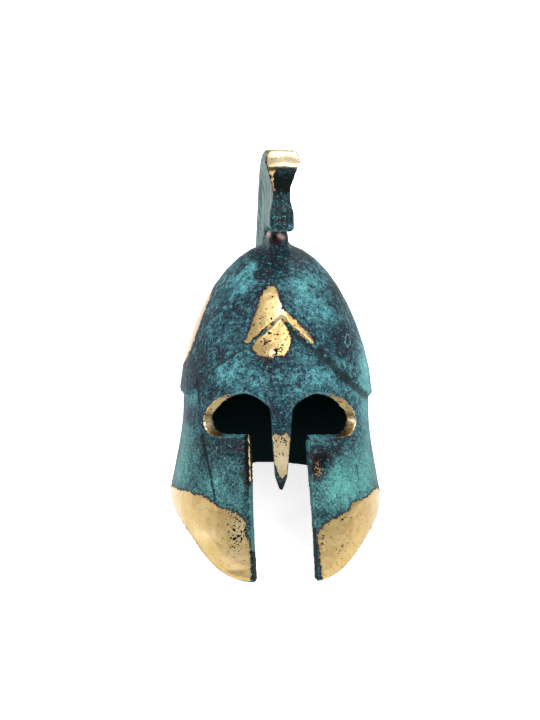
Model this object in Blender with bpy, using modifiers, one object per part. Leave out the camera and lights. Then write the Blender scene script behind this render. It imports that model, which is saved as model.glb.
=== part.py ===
"""A small decorative spartan helmet, cast in brass, with a separately cast crest.

Both pieces are modelled upright, the face towards -Y, with the cheek tips at
height zero. An empty then leans them back, so that the cheek tips and the
neck guard stand on the table together. Metres, +Z up.
"""

import math

import bmesh
import bpy
from mathutils import Matrix, Vector

# Helmet shell
HELMET_HEIGHT = 0.0800      # cheek tips to the top of the crown
HELMET_WIDTH = 0.0543       # across the flared sides, before the brow step
FACE_REACH = 0.0334         # middle of the helmet to the face
NAPE_REACH = 0.0356         # middle of the helmet to the neck guard
WALL = 0.0030
RIM_ROUND = 0.0006
BROW_STEP = 0.0009          # how far the bowl stands proud of the face
BROW_HEIGHT = 0.0430        # the step's height at the sides
BROW_PEAK = 0.0205          # how much higher the step peaks over the nose
BROW_PEAK_ANGLE = 60.0      # degrees from the front where the peak's arms end
DOME_POWER = 1.54           # 2 is a round dome, less is more pointed
CHEEK_RIM_HEIGHT = 0.0170   # the rim at the sides, above the cheek tips
NAPE_RIM_HEIGHT = 0.0208    # the rim at the back
FLAT_DEPTH = 0.00030        # how much is dressed off where it stands

# Openings of the face
EYE_REACH = 0.0187          # middle of the face to an eye's outer corner
EYE_HEIGHT = 0.0115         # top to bottom of an eye
EYE_SILL = 0.0345           # the lower edge of the eyes
SLIT_TOP_LEFT = 0.0079      # middle of the face to the left cheek's edge, at its top
SLIT_FOOT_LEFT = 0.0062     # and at its foot
SLIT_TOP_RIGHT = 0.0066
SLIT_FOOT_RIGHT = 0.0093
NOSE_HALF = 0.0022          # half of the nose guard's width, level with the sill
NOSE_NARROW_HALF = 0.0015   # half of its width where it narrows to its end
NOSE_NARROW_HEIGHT = 0.0256
NOSE_TIP_HALF = 0.0006      # half of its width at its rounded end
NOSE_TIP_HEIGHT = 0.0225    # the nose guard's lower end
EYE_TAPER = 0.0060          # how far the cut leans in at the eyes' outer corners
SLIT_TAPER_LEFT = 0.0013    # how far it leans in down the left cheek's edge
EDGE_TAPER = 0.0010         # how far it leans in elsewhere

# Crest and the ridge that carries it
RIDGE_WIDTH = 0.0052
RIDGE_HEIGHT = 0.0038
RIDGE_FRONT = -0.0110       # where the ridge starts, along Y
RIDGE_END_HEIGHT = 0.0470   # how low it runs down the back
CREST_THICKNESS = 0.0088    # at its widest, at the top of its front
CREST_HEIGHT = 0.0188       # ridge to the top of the plume
CREST_OVERHANG = 0.0245     # middle of the helmet to the crest's front
CREST_FRONT_DROP = 0.0008   # how much lower than its seat the front hangs
CREST_SHOULDER = 0.85       # how far the wide front reaches back, as a share of the overhang
CREST_BACK_DEPTH = 0.0115   # the plume's depth at the back
CREST_TAIL_DROP = 0.0130    # how far the tail hangs below the ridge's end
GAP = 0.0003                # clearance between the two pieces
TENON_RADIUS = 0.0010
TENON_LENGTH = 0.0030
TENON_ANGLES = (4.0, 38.0)  # degrees back from the top of the crown

COLUMNS = 80
FACE_ROWS = 12
DOME_ROWS = 10
RIDGE_STEPS = 16
CREST_STEPS = 18

# Level sections of the shell below the brow: height as a share of BROW_HEIGHT, half width as a
# share of half HELMET_WIDTH, reach to the face and to the nape as shares of theirs, and the
# front's power (2 is an ellipse, more is squarer)
SECTION_COLUMNS = ("height", "width", "face", "nape", "power")
SECTIONS = (
    (-0.05, 0.980, 0.985, 1.000, 2.9),
    (0.19, 1.000, 1.000, 1.000, 2.9),
    (0.40, 1.000, 0.995, 0.990, 2.9),
    (0.51, 0.968, 0.983, 0.950, 2.9),
    (0.70, 0.914, 0.958, 0.900, 2.8),
    (0.86, 0.884, 0.940, 0.905, 2.7),
    (1.00, 0.884, 0.916, 0.940, 2.5),
)
BACK_POWER = 2.2
DOME_FRONT_POWER = 2.1

# The rim: degrees from the front, and height as a share of the way to the rim at the sides
RIM_COLUMNS = ("angle", "rise")
RIM = (
    (0.0, 0.00),
    (14.0, 0.02),
    (20.0, 0.06),
    (24.5, 0.13),
    (29.0, 0.23),
    (34.0, 0.38),
    (38.5, 0.53),
    (46.0, 0.70),
    (54.0, 0.83),
    (67.0, 0.94),
    (90.0, 1.00),
)

# Outline of each side's openings, seen from the front, from the nose guard round the eye and
# down the slit: sideways as a share of EYE_REACH, up from the sill as a share of EYE_HEIGHT,
# and how much of the eye's taper the cut has there
EYE_COLUMNS = ("side", "up", "taper")
EYE = (
    (0.148, 0.62, 0.0),
    (0.25, 0.80, 0.1),
    (0.36, 0.92, 0.1),
    (0.49, 0.98, 0.1),
    (0.66, 0.92, 0.3),
    (0.77, 0.85, 0.6),
    (0.87, 0.74, 0.9),
    (0.95, 0.58, 1.0),
    (1.00, 0.38, 1.0),
    (1.00, 0.22, 1.0),
    (0.95, 0.06, 0.9),
    (0.83, 0.00, 0.6),
    (0.65, 0.00, 0.3),
)
SLIT_TOP_ROUND = 0.0012

# The plume from the side: the place along the crest from 0 at the end of the ridge's front to 1
# at the ridge's lower end, and depth over the ridge as a share of the way from CREST_HEIGHT at
# the front to CREST_BACK_DEPTH
PLUME_COLUMNS = ("along", "blend")
PLUME = (
    (0.00, 0.00),
    (0.12, 0.00),
    (0.30, 0.10),
    (0.50, 0.38),
    (0.70, 0.70),
    (0.85, 0.90),
    (1.00, 1.00),
)

# The crest in section: share of its depth over the ridge, and half thickness as a share of half
# CREST_THICKNESS, for its body and at its front end, with how far that end is hollowed back, as
# a share of CREST_HEIGHT
LAYER_COLUMNS = ("depth", "body", "front", "back")
LAYERS = (
    (0.00, 0.54, 0.56, 0.17),
    (0.04, 0.67, 0.72, 0.15),
    (0.24, 0.62, 0.70, 0.15),
    (0.31, 0.56, 0.62, 0.17),
    (0.40, 0.54, 0.51, 0.20),
    (0.54, 0.54, 0.53, 0.20),
    (0.65, 0.59, 0.70, 0.16),
    (0.74, 0.66, 0.83, 0.12),
    (0.79, 0.72, 0.92, 0.01),
    (0.84, 0.79, 1.00, 0.00),
    (0.90, 0.86, 0.97, 0.00),
    (0.95, 0.86, 0.88, 0.01),
    (0.985, 0.78, 0.75, 0.03),
    (1.00, 0.62, 0.60, 0.07),
)

# The tail below the ridge's end: share of CREST_TAIL_DROP, and its inner and outer edge as
# shares of CREST_BACK_DEPTH, and its thickness as a share
TAIL_COLUMNS = ("drop", "inner", "outer", "thick")
TAIL = (
    (0.35, 0.03, 1.00, 0.98),
    (0.65, 0.12, 0.94, 0.92),
    (0.88, 0.28, 0.80, 0.80),
    (1.00, 0.45, 0.64, 0.60),
)


def rows(columns, table):
    """A table's rows as dictionaries under its column names."""
    return [dict(zip(columns, row)) for row in table]


def spline(table, key, column, at):
    """A smooth value of one column of a table's rows, at a value of its key column."""
    at = min(max(at, table[0][key]), table[-1][key])
    index = 0
    while index < len(table) - 2 and at > table[index + 1][key]:
        index += 1
    before = table[max(index - 1, 0)]
    start = table[index]
    end = table[index + 1]
    after = table[min(index + 2, len(table) - 1)]
    span = end[key] - start[key]
    t = (at - start[key]) / span
    slope_start = (end[column] - before[column]) / (end[key] - before[key]) * span
    slope_end = (after[column] - start[column]) / (after[key] - start[key]) * span
    t2 = t * t
    t3 = t2 * t
    return ((2 * t3 - 3 * t2 + 1) * start[column] + (t3 - 2 * t2 + t) * slope_start
            + (3 * t2 - 2 * t3) * end[column] + (t3 - t2) * slope_end)


SECTION_ROWS = rows(SECTION_COLUMNS, SECTIONS)
RIM_ROWS = rows(RIM_COLUMNS, RIM)
EYE_ROWS = rows(EYE_COLUMNS, EYE)
PLUME_ROWS = rows(PLUME_COLUMNS, PLUME)
LAYER_ROWS = rows(LAYER_COLUMNS, LAYERS)
TAIL_ROWS = rows(TAIL_COLUMNS, TAIL)


def section(height):
    """Half width, reach to the face, reach to the nape and the front's power at a height."""
    share = min(height / BROW_HEIGHT, 1.0)
    half_width = spline(SECTION_ROWS, "height", "width", share) * HELMET_WIDTH / 2
    face = spline(SECTION_ROWS, "height", "face", share) * FACE_REACH
    nape = spline(SECTION_ROWS, "height", "nape", share) * NAPE_REACH
    front_power = spline(SECTION_ROWS, "height", "power", share)
    if height > BROW_HEIGHT:
        rise = min((height - BROW_HEIGHT) / (HELMET_HEIGHT - BROW_HEIGHT), 1.0)
        dome = math.sqrt(max(0.0, 1.0 - rise ** DOME_POWER))
        half_width *= dome
        face *= dome
        nape *= dome
        front_power += (DOME_FRONT_POWER - front_power) * min(1.0, 2.0 * rise)
    return half_width, face, nape, front_power


def outer_radius(height, angle):
    """The bowl's distance from its upright axis; the angle is from the front, in radians."""
    half_width, face, nape, front_power = section(height)
    if half_width < 1e-9:
        return 0.0
    ahead = math.cos(angle)
    side = abs(math.sin(angle))
    reach = face if ahead > 0 else nape
    power = front_power if ahead > 0 else BACK_POWER
    return ((abs(ahead) / reach) ** power + (side / half_width) ** power) ** (-1.0 / power)


def brow_height(angle):
    """Height of the step between the bowl and the face."""
    turn = abs(math.degrees(angle))
    return BROW_HEIGHT + BROW_PEAK * max(0.0, 1.0 - turn / BROW_PEAK_ANGLE) ** 1.3


def rim_height(angle):
    """Height of the shell's lower edge."""
    turn = abs(math.degrees(angle))
    if turn <= 90.0:
        return CHEEK_RIM_HEIGHT * spline(RIM_ROWS, "angle", "rise", turn)
    blend = 0.5 - 0.5 * math.cos(math.radians(2.0 * (turn - 90.0)))
    return CHEEK_RIM_HEIGHT + (NAPE_RIM_HEIGHT - CHEEK_RIM_HEIGHT) * blend


def surface_point(height, angle, inset=0.0):
    """A point of the outer surface, set in by a distance."""
    radius = outer_radius(height, angle) - inset
    return Vector((radius * math.sin(angle), -radius * math.cos(angle), height))


def column_points(angle):
    """Points of one upright line of the shell, from the rim to just under the crown's top."""
    rim = rim_height(angle)
    brow = brow_height(angle)
    points = []
    for row in range(FACE_ROWS):
        height = rim + (brow - BROW_STEP / 4 - rim) * row / (FACE_ROWS - 1)
        points.append(surface_point(height, angle, BROW_STEP))
    for row in range(DOME_ROWS):
        height = brow + BROW_STEP / 4
        height += (HELMET_HEIGHT - height) * math.sin(math.pi / 2 * row / DOME_ROWS)
        points.append(surface_point(height, angle))
    return points


def new_object(name, mesh, collection):
    """An object for a mesh, in a collection."""
    item = bpy.data.objects.new(name, mesh)
    collection.objects.link(item)
    return item


def evaluated_mesh(item):
    """The mesh that an object has after its modifiers."""
    graph = bpy.context.evaluated_depsgraph_get()
    return bpy.data.meshes.new_from_object(item.evaluated_get(graph))


def cut(item, cutter, operation="DIFFERENCE"):
    """Cut an object with another, or join the two."""
    boolean = item.modifiers.new(operation.title() + " " + cutter.name, "BOOLEAN")
    boolean.operation = operation
    boolean.solver = "EXACT"
    boolean.object = cutter
    cutter.hide_render = True
    cutter.display_type = "WIRE"


def bowl_mesh():
    """The outer skin thickened inwards, with its rim rounded."""
    work = bmesh.new()
    columns = []
    for index in range(COLUMNS):
        angle = 2 * math.pi * index / COLUMNS
        if angle > math.pi:
            angle -= 2 * math.pi
        columns.append([work.verts.new(point) for point in column_points(angle)])
    top = work.verts.new((0.0, 0.0, HELMET_HEIGHT))
    for index in range(COLUMNS):
        here = columns[index]
        there = columns[(index + 1) % COLUMNS]
        for low, high in zip(range(len(here) - 1), range(1, len(here))):
            work.faces.new((here[low], there[low], there[high], here[high]))
        work.faces.new((here[-1], there[-1], top))
    bmesh.ops.recalc_face_normals(work, faces=work.faces)
    outer_count = len(work.verts)
    mesh = bpy.data.meshes.new("bowl")
    work.to_mesh(mesh)
    work.free()

    skin = new_object("bowl_skin", mesh, cutters)
    thicken = skin.modifiers.new("Wall", "SOLIDIFY")
    thicken.thickness = WALL
    thicken.offset = -1.0
    thicken.use_even_offset = True
    thick = evaluated_mesh(skin)
    bpy.data.objects.remove(skin)

    work = bmesh.new()
    work.from_mesh(thick)
    rim_edges = []
    for edge in work.edges:
        sides = [[vert.index < outer_count for vert in face.verts] for face in edge.link_faces]
        mixed = [any(side) and not all(side) for side in sides]
        if mixed.count(True) == 1:
            rim_edges.append(edge)
    bmesh.ops.bevel(work, geom=rim_edges, offset=RIM_ROUND, segments=2, profile=0.5,
                    affect="EDGES")
    bmesh.ops.triangulate(work, faces=work.faces)
    work.to_mesh(thick)
    work.free()
    return thick


def with_midpoints(points):
    """Points with one more between each two, on a smooth curve through them."""
    smooth = [points[0]]
    for index in range(len(points) - 1):
        before = points[max(index - 1, 0)]
        here = points[index]
        there = points[index + 1]
        after = points[min(index + 2, len(points) - 1)]
        middle = [(9 * (b + c) - a - d) / 16 for a, b, c, d in zip(before, here, there, after)]
        smooth += [tuple(middle), there]
    return smooth


def opening_outline(slit_top, slit_foot, slit_taper):
    """One side of the face opening, seen from the front: sideways, height and taper."""
    points = []
    for turn in (0.0, 40.0, 80.0):
        across = NOSE_TIP_HALF * math.sin(math.radians(turn))
        up = NOSE_TIP_HALF * (1 - math.cos(math.radians(turn)))
        points.append((across, NOSE_TIP_HEIGHT + up, 0.0))
    points.append((NOSE_NARROW_HALF, NOSE_NARROW_HEIGHT, 0.0))
    eye = [(NOSE_HALF, EYE_SILL, 0.0)]
    for row in EYE_ROWS:
        taper = row["taper"] * EYE_TAPER
        eye.append((row["side"] * EYE_REACH, EYE_SILL + row["up"] * EYE_HEIGHT, taper))
    points += with_midpoints(eye)
    for turn in (90.0, 45.0, 0.0):
        across = slit_top + SLIT_TOP_ROUND * (1 - math.cos(math.radians(turn)))
        down = SLIT_TOP_ROUND * (1 - math.sin(math.radians(turn)))
        points.append((across, EYE_SILL - down, slit_taper))
    points.append((slit_foot, -WALL, slit_taper))
    return points


def face_cutter():
    """The T-shaped opening of eyes and slit, as a plug that narrows through the wall."""
    right = opening_outline(SLIT_TOP_RIGHT, SLIT_FOOT_RIGHT, EDGE_TAPER)
    left = opening_outline(SLIT_TOP_LEFT, SLIT_FOOT_LEFT, SLIT_TAPER_LEFT)
    outline = [(side, height, taper, 1.0) for side, height, taper in right]
    outline += [(-side, height, taper, -1.0) for side, height, taper in left[:0:-1]]
    centre_height = EYE_SILL + EYE_HEIGHT / 2
    front = -2.0 * FACE_REACH
    back = -0.1 * FACE_REACH
    work = bmesh.new()
    rings = [[], [], [], []]
    for side, height, taper, sign in outline:
        angle = math.atan2(side, FACE_REACH)
        for _ in range(12):
            skin = surface_point(height, angle, BROW_STEP)
            angle += (side - skin.x) / FACE_REACH
        inner_side = side - sign * taper
        inner_height = height
        if taper and height > EYE_SILL - EDGE_TAPER / 2:
            inner_height += math.copysign(EDGE_TAPER, centre_height - height)
        rings[0].append(work.verts.new((side, front, height)))
        rings[1].append(work.verts.new((side, skin.y - EDGE_TAPER / 2, height)))
        rings[2].append(work.verts.new((inner_side, skin.y + WALL, inner_height)))
        rings[3].append(work.verts.new((inner_side, back, inner_height)))
    count = len(outline)
    for ring, following in zip(rings, rings[1:]):
        for index in range(count):
            after = (index + 1) % count
            work.faces.new((ring[index], ring[after], following[after], following[index]))
    work.faces.new(rings[0])
    work.faces.new(rings[3])
    bmesh.ops.recalc_face_normals(work, faces=work.faces)
    bmesh.ops.triangulate(work, faces=work.faces)
    mesh = bpy.data.meshes.new("face_opening")
    work.to_mesh(mesh)
    work.free()
    return new_object("face_opening", mesh, cutters)


def crown_point(turn, offset):
    """A point over the crown's middle line, some degrees back from the top, as Y and Z."""
    brow_row = SECTION_ROWS[-1]
    reach = brow_row["nape"] * NAPE_REACH if turn > 0 else brow_row["face"] * FACE_REACH
    rise = HELMET_HEIGHT - BROW_HEIGHT
    slope = math.tan(math.radians(abs(turn)))
    low, high = 0.0, 1.0
    for _ in range(40):
        share = (low + high) / 2
        across = reach * math.sqrt(max(0.0, 1.0 - share ** DOME_POWER))
        if across > slope * share * rise:
            low = share
        else:
            high = share
    direction = math.copysign(1.0, turn)
    point = Vector((direction * across, BROW_HEIGHT + share * rise))
    outward = point - Vector((0.0, BROW_HEIGHT))
    outward.x *= rise / reach
    outward.y *= reach / rise
    return point + outward.normalized() * offset


def over_crown(turn, offset):
    """A point over the crown's middle line, kept level ahead of the top."""
    point = crown_point(turn, offset)
    if turn < 0.0:
        point.x = crown_point(turn, 0.0).x
        point.y = HELMET_HEIGHT + offset
    return point


def turn_of(across):
    """Degrees back from the top at which the crown's line reaches a distance along Y."""
    low, high = -80.0, 80.0
    for _ in range(40):
        turn = (low + high) / 2
        if crown_point(turn, 0.0).x < across:
            low = turn
        else:
            high = turn
    return turn


def turn_at_height(height):
    """Degrees back from the top at which the crown's line comes down to a height."""
    low, high = 0.0, 89.0
    for _ in range(40):
        turn = (low + high) / 2
        if crown_point(turn, 0.0).y > height:
            low = turn
        else:
            high = turn
    return turn


def plate(name, outline, thickness, collection):
    """A flat plate in the helmet's middle plane, from its outline as Y and Z pairs."""
    curve = bpy.data.curves.new(name, "CURVE")
    curve.dimensions = "2D"
    curve.fill_mode = "BOTH"
    curve.extrude = thickness / 2
    line = curve.splines.new("POLY")
    line.points.add(len(outline) - 1)
    for point, place in zip(line.points, outline):
        point.co = (place[0], place[1], 0.0, 1.0)
    line.use_cyclic_u = True
    shape = bpy.data.objects.new(name + "_outline", curve)
    collection.objects.link(shape)
    mesh = evaluated_mesh(shape)
    bpy.data.objects.remove(shape)
    mesh.transform(Matrix(((0, 0, 1, 0), (1, 0, 0, 0), (0, 1, 0, 0), (0, 0, 0, 1))))
    work = bmesh.new()
    work.from_mesh(mesh)
    bmesh.ops.remove_doubles(work, verts=work.verts, dist=1e-6)
    bmesh.ops.recalc_face_normals(work, faces=work.faces)
    work.to_mesh(mesh)
    work.free()
    return new_object(name, mesh, collection)


def ridge():
    """The raised ridge along the crown that the crest stands on."""
    start = turn_of(RIDGE_FRONT)
    end = turn_at_height(RIDGE_END_HEIGHT)
    turns = [start + (end - start) * step / RIDGE_STEPS for step in range(RIDGE_STEPS + 1)]
    outer = [over_crown(turn, RIDGE_HEIGHT) for turn in turns]
    inner = [crown_point(turn, -WALL / 2) for turn in turns]
    item = plate("ridge", outer + inner[::-1], RIDGE_WIDTH, cutters)
    return item


def crest_lines():
    """The crest's sections from front to tail: lower point, upper point and thickness share."""
    seat = RIDGE_HEIGHT + GAP
    start = turn_of(RIDGE_FRONT)
    end = turn_at_height(RIDGE_END_HEIGHT)
    top = HELMET_HEIGHT + seat + CREST_HEIGHT
    heel = over_crown(start, seat)
    tip = Vector((-CREST_OVERHANG, top))
    chin = heel.y - CREST_FRONT_DROP
    lines = [(Vector((tip.x, chin)), tip, 1.0)]
    shoulder = Vector((tip.x * CREST_SHOULDER, top))
    lines.append((Vector(((tip.x + heel.x) / 2, chin)), shoulder, 1.0))
    for step in range(CREST_STEPS + 1):
        along = step / CREST_STEPS
        turn = start + (end - start) * along
        blend = spline(PLUME_ROWS, "along", "blend", along)
        depth = CREST_HEIGHT + (CREST_BACK_DEPTH - CREST_HEIGHT) * blend
        lines.append((over_crown(turn, seat), over_crown(turn, seat + depth), 1.0))
    root, rim, _ = lines[-1]
    for row in TAIL_ROWS:
        drop = Vector((0.0, -row["drop"] * CREST_TAIL_DROP))
        lower = root + (rim - root) * row["inner"] + drop
        upper = root + (rim - root) * row["outer"] + drop
        lines.append((lower, upper, row["thick"]))
    return lines


def crest_body():
    """The plume as a loft through its sections."""
    work = bmesh.new()
    rings = []
    for index, (lower, upper, thick) in enumerate(crest_lines()):
        near = []
        far = []
        for row in LAYER_ROWS:
            place = lower + (upper - lower) * row["depth"]
            half = CREST_THICKNESS / 2 * thick * row["body"]
            if index == 0:
                place.x += row["back"] * CREST_HEIGHT
                half = CREST_THICKNESS / 2 * row["front"]
            near.append(work.verts.new((-half, place.x, place.y)))
            far.append(work.verts.new((half, place.x, place.y)))
        rings.append(near + far[::-1])
    count = len(rings[0])
    for ring, following in zip(rings, rings[1:]):
        for index in range(count):
            after = (index + 1) % count
            work.faces.new((ring[index], ring[after], following[after], following[index]))
    for ring in (rings[0], rings[-1]):
        for index in range(count // 2 - 1):
            opposite = count - 1 - index
            work.faces.new((ring[index], ring[index + 1], ring[opposite - 1], ring[opposite]))
    bmesh.ops.recalc_face_normals(work, faces=work.faces)
    bmesh.ops.triangulate(work, faces=work.faces)
    mesh = bpy.data.meshes.new("crest")
    work.to_mesh(mesh)
    work.free()
    return mesh


def crest():
    """The plume, with the two tenons under it that hold it to the ridge."""
    item = new_object("crest", crest_body(), pieces)
    for index, turn in enumerate(TENON_ANGLES):
        cut(item, tenon("tenon_%d" % (index + 1), turn, TENON_RADIUS, TENON_LENGTH), "UNION")
    return item


def tenon(name, turn, radius, length):
    """A round peg across the seam, at some degrees back from the top of the crown."""
    seat = RIDGE_HEIGHT + GAP
    low = crown_point(turn, seat - GAP - length)
    high = crown_point(turn, seat + 2.0 * TENON_RADIUS)
    middle = (low + high) / 2
    bpy.ops.mesh.primitive_cylinder_add(vertices=16, radius=radius, depth=(high - low).length)
    item = bpy.context.active_object
    item.name = name
    item.location = (0.0, middle.x, middle.y)
    item.rotation_euler = (math.atan2(-(high.x - low.x), high.y - low.y), 0.0, 0.0)
    for holder in list(item.users_collection):
        holder.objects.unlink(item)
    cutters.objects.link(item)
    return item


def lowest(points, lean, front):
    """Height of the lowest point of the front or the back half when leant back."""
    heights = []
    for point in points:
        if (point.y < 0.0) == front:
            heights.append(point.z * math.cos(lean) - point.y * math.sin(lean))
    return min(heights)


def lean_angle(points):
    """How far the helmet leans back to stand on its cheek tips and its neck guard."""
    low, high = 0.0, math.radians(45.0)
    for _ in range(40):
        lean = (low + high) / 2
        if lowest(points, lean, True) < lowest(points, lean, False):
            low = lean
        else:
            high = lean
    return lean


def patinated_brass(name, colour, roughness):
    """Old brass under a blue-green patina."""
    material = bpy.data.materials.new(name)
    material.use_nodes = True
    shader = material.node_tree.nodes["Principled BSDF"]
    shader.inputs["Base Color"].default_value = colour
    shader.inputs["Roughness"].default_value = roughness
    shader.inputs["Metallic"].default_value = 0.6
    material.diffuse_color = colour
    return material


def helmet_shell():
    """The cast shell: bowl, face, cheeks, neck guard and ridge in one."""
    item = new_object("helmet_shell", bowl_mesh(), pieces)
    cut(item, face_cutter())
    cut(item, ridge(), "UNION")
    for index, turn in enumerate(TENON_ANGLES):
        radius = TENON_RADIUS + GAP
        length = TENON_LENGTH + 2.0 * GAP
        cut(item, tenon("tenon_hole_%d" % (index + 1), turn, radius, length))
    return item


def stand_on_table(shell, plume):
    """Lean the pieces back on an empty and dress the shell flat where it stands."""
    points = [vert.co.copy() for vert in evaluated_mesh(shell).vertices]
    lean = lean_angle(points)
    all_points = points + [vert.co.copy() for vert in evaluated_mesh(plume).vertices]
    depths = [point.y * math.cos(lean) + point.z * math.sin(lean) for point in all_points]
    pose = bpy.data.objects.new("lean", None)
    pieces.objects.link(pose)
    pose.rotation_euler = (-lean, 0.0, 0.0)
    pose.location = (0.0, -(min(depths) + max(depths)) / 2,
                     -lowest(points, lean, True) - FLAT_DEPTH)
    shell.parent = pose
    plume.parent = pose
    for item in cutters.objects:
        item.parent = pose
    bpy.ops.mesh.primitive_cube_add(size=1.0)
    table = bpy.context.active_object
    table.name = "table_cut"
    table.scale = (2 * HELMET_WIDTH, 6 * NAPE_REACH, HELMET_HEIGHT)
    table.location = (0.0, 0.0, -HELMET_HEIGHT / 2)
    for holder in list(table.users_collection):
        holder.objects.unlink(table)
    cutters.objects.link(table)
    cut(shell, table)


def shade_smooth(item, degrees):
    """Smooth shading with creases at the sharper edges."""
    work = bmesh.new()
    work.from_mesh(item.data)
    for face in work.faces:
        face.smooth = True
    for edge in work.edges:
        if len(edge.link_faces) == 2 and edge.calc_face_angle() > math.radians(degrees):
            edge.smooth = False
    work.to_mesh(item.data)
    work.free()


for leftover in list(bpy.data.objects):
    bpy.data.objects.remove(leftover)

pieces = bpy.data.collections.new("spartan_helmet")
cutters = bpy.data.collections.new("cutters")
bpy.context.scene.collection.children.link(pieces)
bpy.context.scene.collection.children.link(cutters)

shell_piece = helmet_shell()
crest_piece = crest()
stand_on_table(shell_piece, crest_piece)
for piece in (shell_piece, crest_piece):
    shade_smooth(piece, 40.0)
shell_piece.data.materials.append(patinated_brass("shell_brass", (0.13, 0.30, 0.30, 1.0), 0.45))
crest_piece.data.materials.append(patinated_brass("crest_brass", (0.10, 0.24, 0.25, 1.0), 0.50))
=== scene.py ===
"""A small cast-brass spartan helmet under a blue-green patina, on a pale table.

Both castings are remeshed finely from the frame, softened as castings are, and given
their seams, creases and grain. What the photograph shows at a place, such as a polished
patch, is measured in its pixels and stored on the vertices in millimetres.
"""

import math

import bmesh
import bpy
import numpy as np
from mathutils import Matrix, Vector, noise


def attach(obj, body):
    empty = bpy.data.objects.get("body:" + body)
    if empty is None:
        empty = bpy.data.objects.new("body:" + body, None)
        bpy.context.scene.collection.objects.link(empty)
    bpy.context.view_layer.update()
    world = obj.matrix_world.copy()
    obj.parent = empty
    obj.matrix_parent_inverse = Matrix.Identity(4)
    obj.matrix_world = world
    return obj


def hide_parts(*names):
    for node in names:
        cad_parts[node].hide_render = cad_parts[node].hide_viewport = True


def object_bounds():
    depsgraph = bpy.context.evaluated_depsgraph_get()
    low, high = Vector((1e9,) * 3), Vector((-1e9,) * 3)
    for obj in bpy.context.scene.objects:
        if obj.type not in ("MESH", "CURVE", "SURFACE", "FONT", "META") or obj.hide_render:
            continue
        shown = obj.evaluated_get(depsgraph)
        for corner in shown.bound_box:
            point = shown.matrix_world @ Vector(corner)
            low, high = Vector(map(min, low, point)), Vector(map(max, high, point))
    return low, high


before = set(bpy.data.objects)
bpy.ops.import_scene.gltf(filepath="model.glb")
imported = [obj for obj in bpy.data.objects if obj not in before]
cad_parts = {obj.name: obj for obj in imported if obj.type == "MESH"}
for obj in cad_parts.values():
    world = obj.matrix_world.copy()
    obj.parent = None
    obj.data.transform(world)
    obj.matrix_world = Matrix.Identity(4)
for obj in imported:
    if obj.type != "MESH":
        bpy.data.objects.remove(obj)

cad_low, cad_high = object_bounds()
MM = 0.001

# The helmet leans back on its neck guard: from its own upright frame to the table
LEAN = math.radians(18.0611)
UPRIGHT_ORIGIN = np.array((0.0, -16.060, -9.787)) * MM

# The camera, as the photograph was taken: its place, how it looks, and its focal length
EYE = Vector((-28.36, -504.02, 257.71)) * MM
LOOK_DOWN = math.radians(23.52)
LOOK_RIGHT = math.radians(3.065)
ROLL = math.radians(1.47)
FOCAL_PIXELS = 2200.0
PHOTO_WIDTH = 540
PHOTO_HEIGHT = 720

# How finely the castings are meshed, and the share of the shell's faces that is kept
# when it is thinned out where the photograph doesn't show it
SHELL_VOXEL = 0.44 * MM
CREST_VOXEL = 0.36 * MM
SHELL_SHARE = 0.60

# Polished patches, outlined in pixels of the photograph
LEFT_CHEEK_PATCH = (
    (160, 485), (173, 487), (179, 490), (188, 491), (194, 495), (201, 496), (208, 499),
    (217, 507), (226, 510), (234, 513), (242, 517), (246, 523), (245, 530), (246, 537),
    (249, 541), (250.5, 556), (251, 590), (160, 590),
)
RIGHT_CHEEK_PATCH = (
    (395, 488), (380, 491), (377, 488), (372, 492), (368, 497), (362, 500), (353, 503),
    (350, 510), (341, 516), (329, 522), (320, 530), (318, 535), (318, 543), (320, 551),
    (321, 566), (324, 590), (395, 590),
)
BROW_PATCH = (
    (268, 285), (274, 285), (278, 292), (280, 300), (282, 308), (286, 312), (297, 321),
    (308, 333), (315, 342), (313, 346), (306, 340), (295, 330), (286, 322), (279, 318),
    (270, 323), (258, 334), (249, 343), (245, 342), (248, 334), (253, 320), (258, 305),
    (262, 292),
)
BROW_LOBE = (
    (279, 316), (283, 320), (287, 328), (291, 338), (289, 350), (284, 355), (276, 356),
    (268, 357), (258, 356), (252, 350), (254, 343), (262, 335), (271, 325),
)
BOWL_SIDE_PATCH = (
    (150, 285), (213, 285), (209, 299), (204, 312), (199, 325), (195, 337), (190, 350),
    (184, 362), (175, 368), (150, 368),
)
NOSE_PATCH = (
    (271, 437), (275, 433), (281, 436), (286, 433), (291, 437), (291, 448), (289, 460),
    (287, 474), (283, 479), (277, 472), (274, 462), (272, 450),
)
CREST_TIP_PATCH = (
    (266, 155), (269, 149), (276, 146), (306, 146), (306, 172), (300, 169), (278, 168),
    (274.6, 171), (273.4, 178), (273.8, 186), (275.2, 196), (274.4, 196), (272.0, 186),
    (270.6, 178), (268.4, 168),
)

# Dark creases, as lines in pixels of the photograph
CREASES = (
    ((202, 434), (204, 447), (208, 464), (211, 479), (215, 500)),
    ((197, 380), (198, 394), (199, 404)),
)
FAINT_CREASE = ((352.6, 434), (354.5, 447), (357, 464), (359.5, 481))

# The brow's step, the ring mark on the bowl, the soft ridges down both cheeks, and the
# bright and black lines down the slit's left edge, in pixels too
LEFT_BROW_LINE = (
    (275, 320), (268, 325), (256, 337), (249, 345), (234, 355), (218, 365), (201, 381),
)
RIGHT_BROW_LINE = (
    (285, 324), (297, 334), (313, 347), (324, 357), (336, 369), (350, 382), (366, 396),
)
RING_CENTRE = (348.0, 340.0)
RING_RADII = (2.4, 6.0)
CHEEK_RIDGES = (
    ((168, 488), (176, 500), (186, 514), (198, 526), (210, 538), (219, 550), (230, 561),
     (250, 569)),
    ((381, 490), (374, 503), (366, 520), (356, 538), (345, 554), (333, 566), (322, 574)),
)
GLINT_LINE = ((248.7, 435), (249.6, 457), (250.4, 481))
BLACK_LINE = ((246.6, 437), (247.4, 458), (248.4, 484))

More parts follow.
